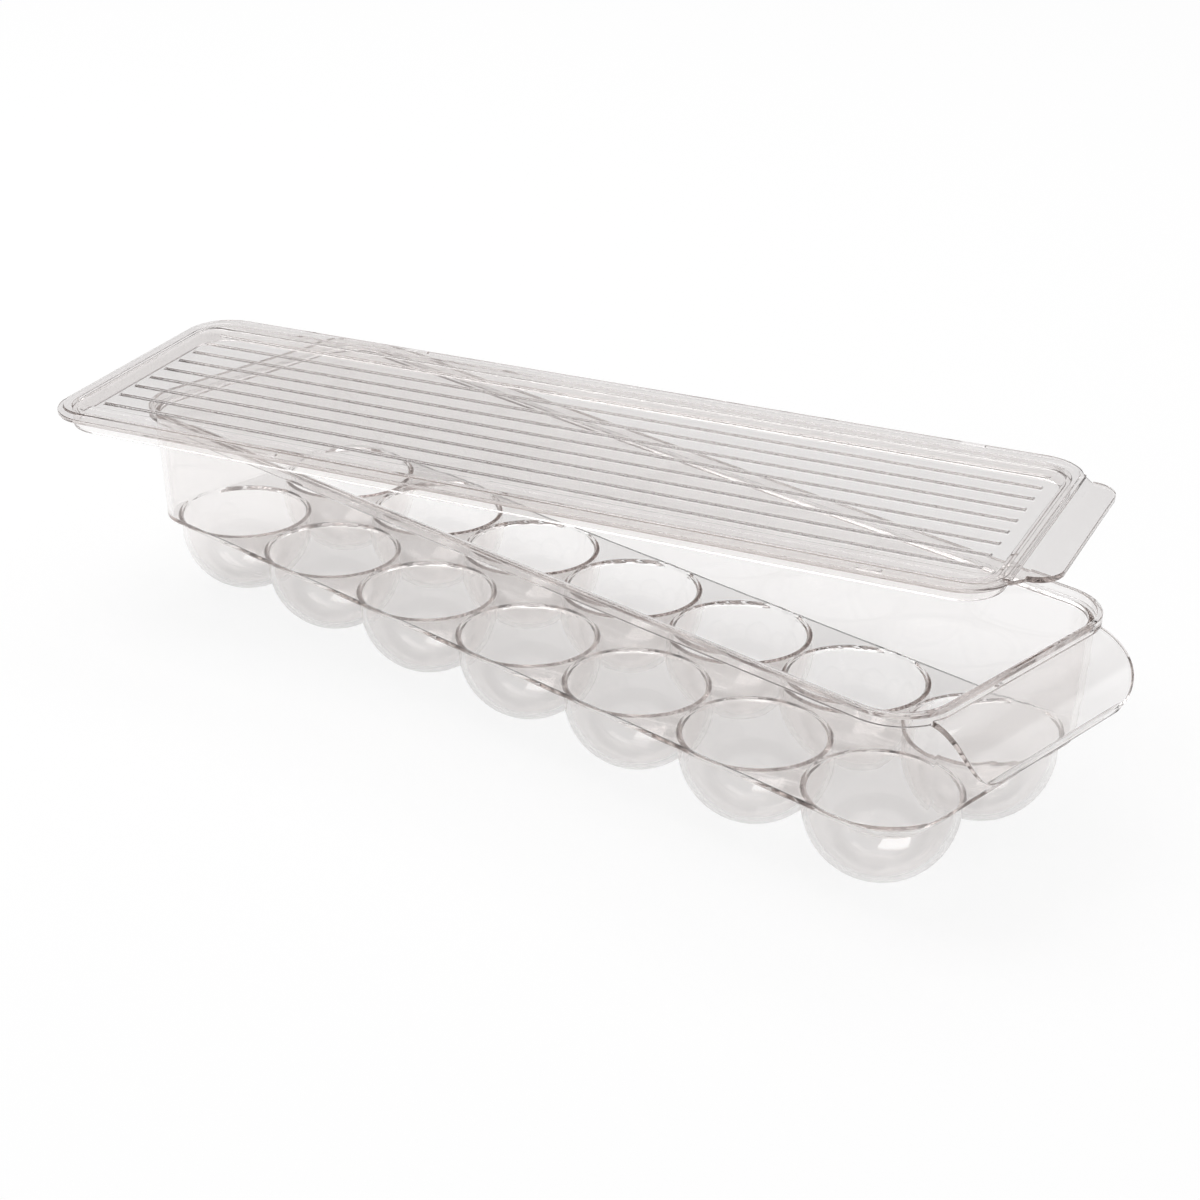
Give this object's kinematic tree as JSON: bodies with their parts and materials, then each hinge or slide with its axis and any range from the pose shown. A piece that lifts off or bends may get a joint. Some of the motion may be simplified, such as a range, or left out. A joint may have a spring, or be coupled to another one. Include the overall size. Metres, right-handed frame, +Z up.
{
  "type": "egg keeper with lid",
  "caption": "Clear plastic egg keeper: long tray with two rows of round cups, a stepped rim and a curved end handle, and a ribbed lift-off lid lying askew on the rim",
  "frame": {"origin": "under the middle of the whole outline, tray and lid as pictured, in the plane the cups stand on", "axes": "+X along the tray towards its handle, +Y across the tray towards the side the lid hangs over near the handle, +Z up"},
  "size_m": [0.3896, 0.2013, 0.0819],
  "materials": {
    "tray_plastic": "clear rigid plastic, polished, colourless with a faint warm grey tint",
    "lid_plastic": "clear rigid plastic, polished, colourless with a faint warm grey tint"
  },
  "bodies": {
    "tray": {"tray": "tray_plastic"},
    "lid": {"lid": "lid_plastic"}
  },
  "joints": [
    {"name": "lid_lift", "type": "slide", "parent": "tray", "child": "lid", "axis": [0, 0, 1], "range_m": [0, 0.12]}
  ]
}
